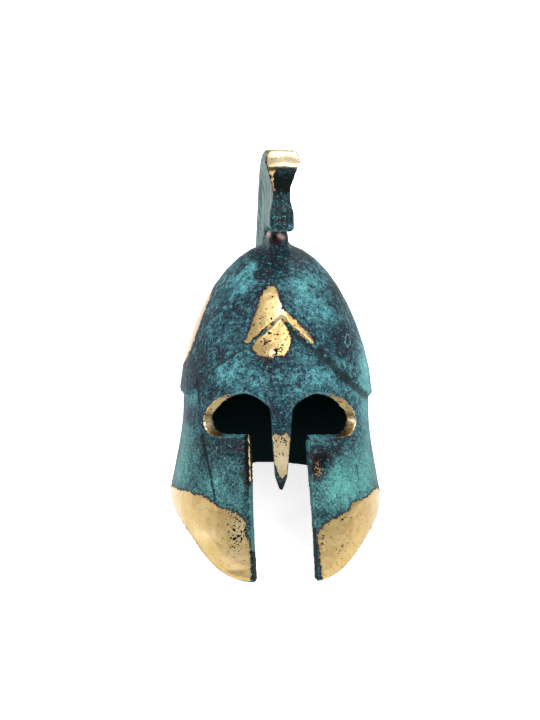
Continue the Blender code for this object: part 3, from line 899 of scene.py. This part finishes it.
def crest():
    """The plume on its ridge."""
    piece = fine_copy("crest", "crest_cast", CREST_VOXEL, CREST_SOFTENING)
    mesh = piece.data
    at = Survey(mesh)
    forward = smooth_step(*FORWARD_FADE, -at.turned[:, 1])
    forward = forward * smooth_step(*CREST_FRONT_FADE, at.along)
    hollow = forward * np.exp(-((at.up - CREST_HOLLOW_HEIGHT) / CREST_HOLLOW_REACH) ** 2)
    block = forward * np.exp(-((at.up - CREST_BLOCK_HEIGHT) / CREST_BLOCK_REACH) ** 2)
    flank = smooth_step(*FLANK_FADE, np.abs(at.turned[:, 0]))
    rise = np.hypot(at.along * WAVE_SQUASH, at.up - WAVE_MIDDLE)
    carve_crest(mesh, at, hollow, block, flank, rise)

    bare = inside_distance(at.pixels, CREST_TIP_PATCH) * at.scale
    bare = np.where(at.along < CREST_PATCH_BACK, bare, NOT_BARE)
    bare = np.minimum(bare, (CREST_PATCH_END - at.along) * CREST_PATCH_SLOPE)
    wander = STREAK_WANDER * noise_at(at.points, STREAK_WANDER_SIZE, 8)
    streak = np.sin(rise / STREAK_SIZE + wander)
    # Painted shade: the crest's front hollow is darkened
    cover_and_painted_light = CREST_COVER + FLANK_COVER * flank - HOLLOW_SHADE * hollow - BLOCK_DARK * block
    cover_and_painted_light += STREAK_COVER * streak * flank
    store_signed(mesh, "bare", bare)
    store(mesh, "cover_and_painted_light", np.clip(cover_and_painted_light, *COVER_RANGE))
    # Painted shadow: the crest's front hollow drawn black
    store_share(mesh, "rim", hollow * HOLLOW_SHADOW)
    store(mesh, "greener", 1.0 - flank)
    store(mesh, "dull", flank * FLANK_DULL)
    store(mesh, "pitted", at.full(CREST_PITS))
    # Painted highlight on the crest's polished tip
    tip = at.along < CREST_HIGHLIGHT_BACK
    store_share(mesh, "painted_highlight", spots(at.pixels, PAINTED_HIGHLIGHTS) * tip)
    store_share(mesh, "stained", spots(at.pixels, STAINED))
    store_signed(mesh, "deep_pit", outside_pits(at.pixels) * at.scale)
    for unused in ("crease", "glint", "step_shadow", "ring"):
        store(mesh, unused, at.full(FAR))
    for unused in ("hidden", "rubbed", "flecked", "calm"):
        store(mesh, unused, at.full(0.0))
    return finish_piece(piece, "crest")


def finish_piece(piece, node):
    """Shade a piece smoothly and let it stand for its CAD node."""
    for polygon in piece.data.polygons:
        polygon.use_smooth = True
    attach(piece, "root")
    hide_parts(node)
    return piece


class Graph:
    """Short calls for a material's nodes."""

    def __init__(self, material):
        material.use_nodes = True
        self.tree = material.node_tree
        self.shader = self.tree.nodes["Principled BSDF"]
        place = self.tree.nodes.new("ShaderNodeTexCoord").outputs["Object"]
        scaled = self.tree.nodes.new("ShaderNodeVectorMath")
        scaled.operation = "SCALE"
        scaled.inputs["Scale"].default_value = 1.0 / MM
        self.tree.links.new(place, scaled.inputs[0])
        self.place = scaled.outputs[0]

    def feed(self, socket, value):
        """Link or set a socket."""
        if isinstance(value, bpy.types.NodeSocket):
            self.tree.links.new(value, socket)
        else:
            socket.default_value = value

    def attribute(self, name):
        """A number stored on the vertices."""
        node = self.tree.nodes.new("ShaderNodeAttribute")
        node.attribute_name = name
        return node.outputs["Fac"]

    def noise(self, size, detail=3.0, roughness=0.55, offset=0.0, stretch=(1, 1, 1)):
        """Noise from 0 to 1 with features of a size in millimetres."""
        mapping = self.tree.nodes.new("ShaderNodeMapping")
        mapping.inputs["Location"].default_value = (offset, offset * 0.7, -offset)
        mapping.inputs["Scale"].default_value = stretch
        self.feed(mapping.inputs["Vector"], self.place)
        node = self.tree.nodes.new("ShaderNodeTexNoise")
        node.inputs["Scale"].default_value = 1.0 / size
        node.inputs["Detail"].default_value = detail
        node.inputs["Roughness"].default_value = roughness
        self.feed(node.inputs["Vector"], mapping.outputs[0])
        return node.outputs[0]

    def math(self, operation, first, second):
        """One sum."""
        node = self.tree.nodes.new("ShaderNodeMath")
        node.operation = operation
        self.feed(node.inputs[0], first)
        self.feed(node.inputs[1], second)
        return node.outputs[0]

    def spread(self, value, amount):
        """Noise from 0 to 1 turned into plus or minus an amount."""
        return self.math("MULTIPLY", self.math("SUBTRACT", value, 0.5), 2.0 * amount)

    def step(self, value, low, high):
        """0 at low, 1 at high, smooth between; low may be the larger."""
        node = self.tree.nodes.new("ShaderNodeMapRange")
        node.interpolation_type = "SMOOTHSTEP"
        rising = low < high
        node.inputs["From Min"].default_value = low if rising else high
        node.inputs["From Max"].default_value = high if rising else low
        node.inputs["To Min"].default_value = 0.0 if rising else 1.0
        node.inputs["To Max"].default_value = 1.0 if rising else 0.0
        self.feed(node.inputs["Value"], value)
        return node.outputs["Result"]

    def ragged(self, name, size, detail, offset, amount):
        """A stored number with noise of plus or minus an amount added, for a ragged edge."""
        wander = self.noise(size, detail, 0.6, offset)
        return self.math("ADD", self.attribute(name), self.spread(wander, amount))

    def layer(self, under, over, share, most):
        """A colour laid over another by a share of the most that it may cover."""
        return self.mix(self.math("MULTIPLY", share, most), under, over)

    def tint(self, share, colour, tinted):
        """A colour multiplied by another."""
        return self.mix(share, colour, tinted, "MULTIPLY")

    def mix(self, share, first, second, blend="MIX"):
        """A blend of two colours."""
        node = self.tree.nodes.new("ShaderNodeMix")
        node.data_type = "RGBA"
        node.blend_type = blend
        self.feed(node.inputs["Factor"], share)
        self.feed(node.inputs[6], first)
        self.feed(node.inputs[7], second)
        return node.outputs[2]


# Colours of the patina, the marks and the metal, and of the painted highlights and shade
DARK_BROWN = (0.016, 0.0095, 0.015, 1.0)
DARK_BLUE = (0.004, 0.010, 0.018, 1.0)
DEEP_TEAL = (0.010, 0.032, 0.042, 1.0)
SLATE_TEAL = (0.037, 0.105, 0.127, 1.0)
TURQUOISE = (0.070, 0.248, 0.264, 1.0)
GREEN_TINT = (1.04, 1.01, 0.89, 1.0)
DULL_TEAL = (0.010, 0.032, 0.030, 1.0)
DULL_GREY = (0.140, 0.185, 0.160, 1.0)
DULL_BROWN = (0.085, 0.060, 0.050, 1.0)
# Pale specks, and the colour of the painted sparkle
PALE_SPECK_AND_SPARKLE = (0.280, 0.520, 0.560, 1.0)
FLAKE_TEAL = (0.050, 0.205, 0.225, 1.0)
PALE_TEAL = (0.165, 0.400, 0.400, 1.0)
# The colour of the painted shadow below the brow's step
STEP_SHADE = (0.010, 0.014, 0.013, 1.0)
BLACK_RIM = (0.002, 0.003, 0.003, 1.0)
INSIDE_GREEN = (0.0004, 0.0065, 0.0060, 1.0)
COPPER = (0.420, 0.270, 0.230, 1.0)
BRASS = (0.410, 0.292, 0.118, 1.0)
PALE_BRASS = (0.475, 0.357, 0.172, 1.0)
# The colour of the painted highlights
HIGHLIGHT_BRASS = (0.920, 0.790, 0.550, 1.0)
GLINT_BRASS = (0.700, 0.480, 0.220, 1.0)
STAINED_BRASS = (0.260, 0.150, 0.065, 1.0)

# How the surfaces take light
PATINA_ROUGHNESS = 0.55
METAL_ROUGHNESS = 0.34
PATINA_SPECULAR = 0.04
BUMP_STRENGTH = 0.60
BUMP_HEIGHT = 0.12 * MM


def patina_colour(g, seed):
    """The mottled patina: dark ground, deep and slate teal, turquoise, and pale specks painted as
    sparkle.
    """
    broad = g.spread(g.noise(4.0, 3.0, 0.60, seed), 0.80)
    patchy = g.spread(g.noise(1.3, 5.0, 0.75, seed + 11), 2.00)
    speckle = g.spread(g.noise(0.45, 3.0, 0.75, seed + 23), 1.25)
    lively = g.math("SUBTRACT", 1.0, g.math("MULTIPLY", g.attribute("calm"), 0.50))
    mottle = g.math("MULTIPLY", g.math("ADD", broad, patchy), lively)
    amount = g.math("ADD", g.attribute("cover_and_painted_light"), mottle)
    fine = g.math("ADD", amount, speckle)
    dark = g.mix(g.step(g.noise(2.5, 3.0, 0.6, seed + 31), 0.42, 0.60), DARK_BROWN, DARK_BLUE)
    patina = g.mix(g.step(fine, -0.24, -0.02), dark, DEEP_TEAL)
    patina = g.mix(g.step(fine, 0.00, 0.30), patina, SLATE_TEAL)
    patina = g.mix(g.step(fine, 0.42, 0.95), patina, TURQUOISE)
    patina = g.layer(patina, PALE_TEAL, g.step(fine, 1.00, 1.70), most=0.75)

    pepper = g.step(g.noise(0.36, 2.0, 0.6, seed + 37), 0.55, 0.63)
    pepper = g.math("MULTIPLY", pepper, g.step(amount, 1.4, 0.6))
    patina = g.layer(patina, dark, pepper, most=0.70)
    sparse = g.math("MULTIPLY", g.step(amount, 0.2, -0.4),
                    g.step(g.attribute("cover_and_painted_light"), -0.99, -0.85))
    fleck = g.math("MULTIPLY", g.step(g.noise(0.38, 2.0, 0.6, seed + 41), 0.53, 0.60), sparse)
    patina = g.layer(patina, SLATE_TEAL, fleck, most=0.45)
    flake = g.math("MULTIPLY", g.step(g.noise(1.0, 4.0, 0.75, seed + 42), 0.57, 0.62), sparse)
    patina = g.layer(patina, FLAKE_TEAL, flake, most=0.80)

    patina = g.mix(g.attribute("dull"), patina, dull_streaks(g, seed))
    patina = g.tint(g.attribute("greener"), patina, GREEN_TINT)
    # Painted highlights: pale specks that stand in for tiny sparkles on the patina
    glitter = g.step(g.noise(0.38, 1.0, 0.5, seed + 53), 0.67, 0.73)
    glitter = g.math("MULTIPLY", glitter, g.step(amount, -0.3, 0.4))
    return g.layer(patina, PALE_SPECK_AND_SPARKLE, glitter, most=0.65)


def dull_streaks(g, seed):
    """The crest's flanks: grey and brown streaks on dull teal."""
    streak = g.noise(0.9, 4.0, 0.65, seed + 43, stretch=(1.0, 0.5, 0.14))
    dull = g.mix(g.step(streak, 0.40, 0.58), DULL_TEAL, DULL_GREY)
    brown = g.noise(2.6, 3.0, 0.6, seed + 45, stretch=(1.0, 0.6, 0.25))
    return g.layer(dull, DULL_BROWN, g.step(brown, 0.55, 0.72), most=0.7)


def marked(g, patina):
    """The patina with its creases, ring mark, dark edges, painted shadow below the brow's step,
    painted shade under the crest and in its hollow, and near-black inside.
    """
    crease = g.step(g.ragged("crease", 0.7, 2.0, 5.0, 0.40), 0.46, 0.12)
    patina = g.layer(patina, BLACK_RIM, crease, most=0.85)
    # Painted shadow below the brow's step
    step_shadow = g.step(g.ragged("step_shadow", 0.7, 3.0, 6.0, 0.40), 0.72, 0.25)
    patina = g.layer(patina, STEP_SHADE, step_shadow, most=0.80)
    ring = g.step(g.ragged("ring", 0.8, 2.0, 7.0, 0.25), 0.16, 0.02)
    patina = g.layer(patina, PALE_SPECK_AND_SPARKLE, ring, most=0.28)
    patina = g.mix(g.attribute("rubbed"), patina, COPPER)
    rim = g.step(g.ragged("rim", 1.2, 3.0, 9.0, 0.35), 0.35, 0.80)
    patina = g.layer(patina, BLACK_RIM, rim, most=0.92)
    return g.mix(g.attribute("hidden"), patina, INSIDE_GREEN)


def pits(g, seed):
    """Small, large and single deep pits in the polished metal: 1 in a pit."""
    pitted = g.attribute("pitted")
    small = g.math("ADD", g.noise(0.40, 1.0, 0.5, seed + 83), g.math("MULTIPLY", pitted, 0.14))
    large = g.math("ADD", g.noise(0.80, 2.0, 0.6, seed + 89), g.math("MULTIPLY", pitted, 0.16))
    pit = g.math("MAXIMUM", g.step(small, 0.715, 0.750), g.step(large, 0.715, 0.735))
    deep = g.step(g.ragged("deep_pit", 0.6, 2.0, seed + 93, 0.25), 0.06, -0.04)
    return g.math("MAXIMUM", pit, deep)


def stained_brass(g, bare, seed):
    """The bare metal: pale and deeper brass, brown stains, and painted highlights in pale brass.
    """
    brass = g.mix(g.step(g.noise(3.5, 3.0, 0.6, seed + 97), 0.35, 0.70), BRASS, PALE_BRASS)
    stain = g.step(g.noise(0.60, 3.0, 0.7, seed + 101), 0.60, 0.80)
    stain = g.math("MAXIMUM", g.math("MULTIPLY", stain, 0.55), g.step(bare, 0.45, 0.02))
    brass = g.layer(brass, STAINED_BRASS, stain, most=0.60)
    brass = g.layer(brass, STAINED_BRASS, g.attribute("stained"), most=0.55)
    # Painted highlights: the brass blended towards a pale colour
    return g.mix(g.attribute("painted_highlight"), brass, HIGHLIGHT_BRASS)


def patinated_brass(name, seed):
    """Brass with a mottled blue-green patina, polished bare in patches."""
    material = bpy.data.materials.new(name)
    g = Graph(material)
    ragged = g.math("ADD", g.spread(g.noise(1.2, 3.0, 0.6, seed + 61), 0.70),
                    g.spread(g.noise(0.40, 2.0, 0.6, seed + 67), 0.50))
    bare = g.math("ADD", g.attribute("bare"), ragged)
    patina = patina_colour(g, seed)
    patina = g.layer(patina, DARK_BROWN, g.step(bare, -0.75, -0.10), most=0.88)
    patina = marked(g, patina)

    pit = pits(g, seed)
    shown = g.step(bare, -0.03, 0.06)
    polished = g.math("MULTIPLY", shown, g.math("SUBTRACT", 1.0, pit))
    patina = g.mix(g.math("MULTIPLY", shown, pit), patina, BLACK_RIM)
    fleck = g.math("ADD", g.noise(0.42, 2.0, 0.6, seed + 91),
                   g.math("MULTIPLY", g.attribute("flecked"), 0.22))
    polished = g.math("MAXIMUM", polished, g.step(fleck, 0.765, 0.790))
    glint = g.step(g.ragged("glint", 0.8, 2.0, 3.0, 0.35), 0.18, 0.07)

    colour = g.mix(polished, patina, stained_brass(g, bare, seed))
    g.feed(g.shader.inputs["Base Color"], g.mix(glint, colour, GLINT_BRASS))
    g.feed(g.shader.inputs["Metallic"], polished)
    rough = g.math("ADD", PATINA_ROUGHNESS, g.spread(g.noise(1.0, 3.0, 0.6, seed + 103), 0.15))
    shiny = g.math("ADD", METAL_ROUGHNESS, g.spread(g.noise(2.0, 3.0, 0.6, seed + 107), 0.08))
    shiny = g.math("SUBTRACT", shiny, g.math("MULTIPLY", g.attribute("painted_highlight"), 0.03))
    g.feed(g.shader.inputs["Roughness"], blend_number(g, polished, rough, shiny))
    g.shader.inputs["Specular IOR Level"].default_value = PATINA_SPECULAR
    g.feed(g.shader.inputs["Normal"], rough_skin(g, polished, pit, seed))
    return material


def rough_skin(g, polished, pit, seed):
    """The fine grain of the skin, weaker where it is polished, and sunk in the pits."""
    grain = g.math("ADD", g.noise(0.45, 3.0, 0.6, seed + 113), g.math("MULTIPLY", polished, 0.10))
    grain = g.math("SUBTRACT", grain, g.math("MULTIPLY", pit, 0.35))
    height = g.math("MULTIPLY", grain, blend_number(g, polished, 1.0, 0.25))
    bump = g.tree.nodes.new("ShaderNodeBump")
    bump.inputs["Strength"].default_value = BUMP_STRENGTH
    bump.inputs["Distance"].default_value = BUMP_HEIGHT
    g.feed(bump.inputs["Height"], height)
    return bump.outputs["Normal"]


def blend_number(g, share, first, second):
    """A blend of two numbers."""
    return g.math("ADD", first, g.math("MULTIPLY", share, g.math("SUBTRACT", second, first)))


def table():
    """A wide pale table top."""
    bpy.ops.mesh.primitive_plane_add(size=6.0)
    top = bpy.context.active_object
    top.name = "table_top"
    material = bpy.data.materials.new("pale_table")
    material.use_nodes = True
    shader = material.node_tree.nodes["Principled BSDF"]
    shader.inputs["Base Color"].default_value = (0.80, 0.80, 0.80, 1.0)
    shader.inputs["Emission Color"].default_value = (1.0, 1.0, 1.0, 1.0)
    shader.inputs["Emission Strength"].default_value = 0.80
    shader.inputs["Roughness"].default_value = 0.7
    shader.inputs["Specular IOR Level"].default_value = 0.1
    top.data.materials.append(material)
    return top


def soft_light(name, place, aim, size, power):
    """A square softbox turned towards a point."""
    light = bpy.data.lights.new(name, "AREA")
    light.shape = "SQUARE"
    light.size = size
    light.energy = power
    item = bpy.data.objects.new(name, light)
    item.location = place
    item.rotation_euler = (Vector(aim) - Vector(place)).to_track_quat("-Z", "Y").to_euler()
    bpy.context.scene.collection.objects.link(item)
    return item


def studio():
    """Soft light from all round, with a key in front and above."""
    world = bpy.data.worlds.new("studio")
    world.use_nodes = True
    background = world.node_tree.nodes["Background"]
    background.inputs["Color"].default_value = (1.0, 1.0, 1.0, 1.0)
    background.inputs["Strength"].default_value = 0.64
    bpy.context.scene.world = world
    middle = (0.0, 0.0, 0.045)
    soft_light("key_light", (0.25, -0.55, 0.70), middle, 0.35, 4.0)
    soft_light("left_light", (-0.70, -0.25, 0.45), middle, 0.40, 3.0)
    soft_light("top_light", (0.05, -0.20, 0.90), middle, 0.45, 3.2)
    soft_light("back_light", (0.30, 0.80, 0.55), middle, 0.45, 4.0)
    bpy.context.scene.view_settings.view_transform = "Standard"


def camera():
    """The camera that took the photograph."""
    data = bpy.data.cameras.new("camera")
    data.sensor_fit = "HORIZONTAL"
    data.sensor_width = 36.0
    data.lens = data.sensor_width * FOCAL_PIXELS / PHOTO_WIDTH
    data.clip_start = 0.01
    item = bpy.data.objects.new("camera", data)
    item.matrix_world = Matrix.Translation(EYE) @ camera_rotation().to_4x4()
    bpy.context.scene.collection.objects.link(item)
    bpy.context.scene.camera = item


shell_piece = helmet_shell()
crest_piece = crest()
shell_piece.data.materials.append(patinated_brass("shell_patina", 0.0))
crest_piece.data.materials.append(patinated_brass("crest_patina", 200.0))
table()
studio()
camera()
